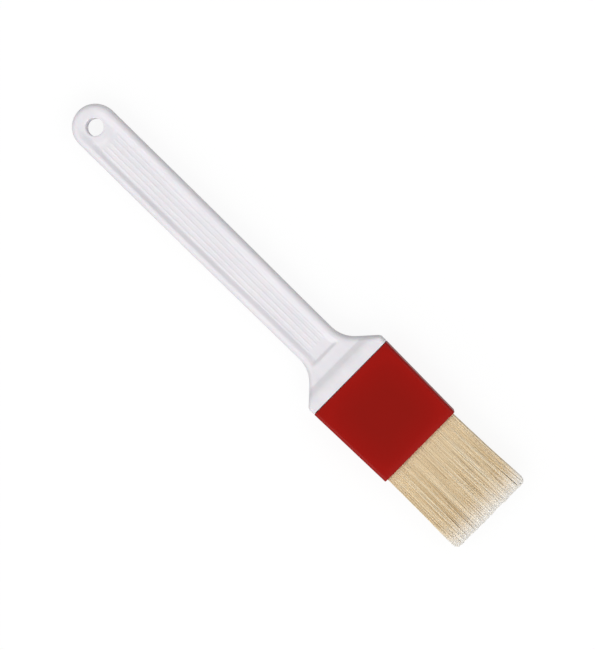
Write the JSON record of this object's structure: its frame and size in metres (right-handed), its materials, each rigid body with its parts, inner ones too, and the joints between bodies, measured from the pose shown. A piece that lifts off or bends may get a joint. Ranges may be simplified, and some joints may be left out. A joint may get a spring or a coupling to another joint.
{
  "type": "pastry brush",
  "caption": "Flat pastry brush: moulded plastic handle with a hang hole and a ribbed recess, a plain plastic ferrule, and a tuft of light natural bristle that bends at the ferrule.",
  "frame": {"origin": "under the middle of the bounding box, on the surface that the brush lies on", "axes": "+X from the handle's end to the bristle tips, +Y across the brush, +Z out of the front face"},
  "size_m": [0.25, 0.0442, 0.0146],
  "materials": {
    "white_plastic": "satin",
    "red_plastic": "satin",
    "bristle": "satin",
    "epoxy_resin": "gloss",
    "spacer_plastic": "matte"
  },
  "bodies": {
    "brush_body": {"handle": "white_plastic", "ferrule": "red_plastic", "resin_set": "epoxy_resin", "spacer_strip": "spacer_plastic", "bristle_root_front": "bristle", "bristle_root_back": "bristle"},
    "tuft": {"bristle_lock_front_1": "bristle", "bristle_lock_front_2": "bristle", "bristle_lock_front_3": "bristle", "bristle_lock_front_4": "bristle", "bristle_lock_front_5": "bristle", "bristle_lock_front_6": "bristle", "bristle_lock_front_7": "bristle", "bristle_lock_front_8": "bristle", "bristle_lock_back_1": "bristle", "bristle_lock_back_2": "bristle", "bristle_lock_back_3": "bristle", "bristle_lock_back_4": "bristle", "bristle_lock_back_5": "bristle", "bristle_lock_back_6": "bristle", "bristle_lock_back_7": "bristle", "bristle_lock_back_8": "bristle"}
  },
  "joints": [
    {"name": "tuft_bend", "type": "hinge", "parent": "brush_body", "child": "tuft", "pos_m": [0.0855, 0, 0.0073], "axis": [0, 1, 0], "range_deg": [-30, 30], "stiffness_Nm_per_rad": 0.13}
  ]
}
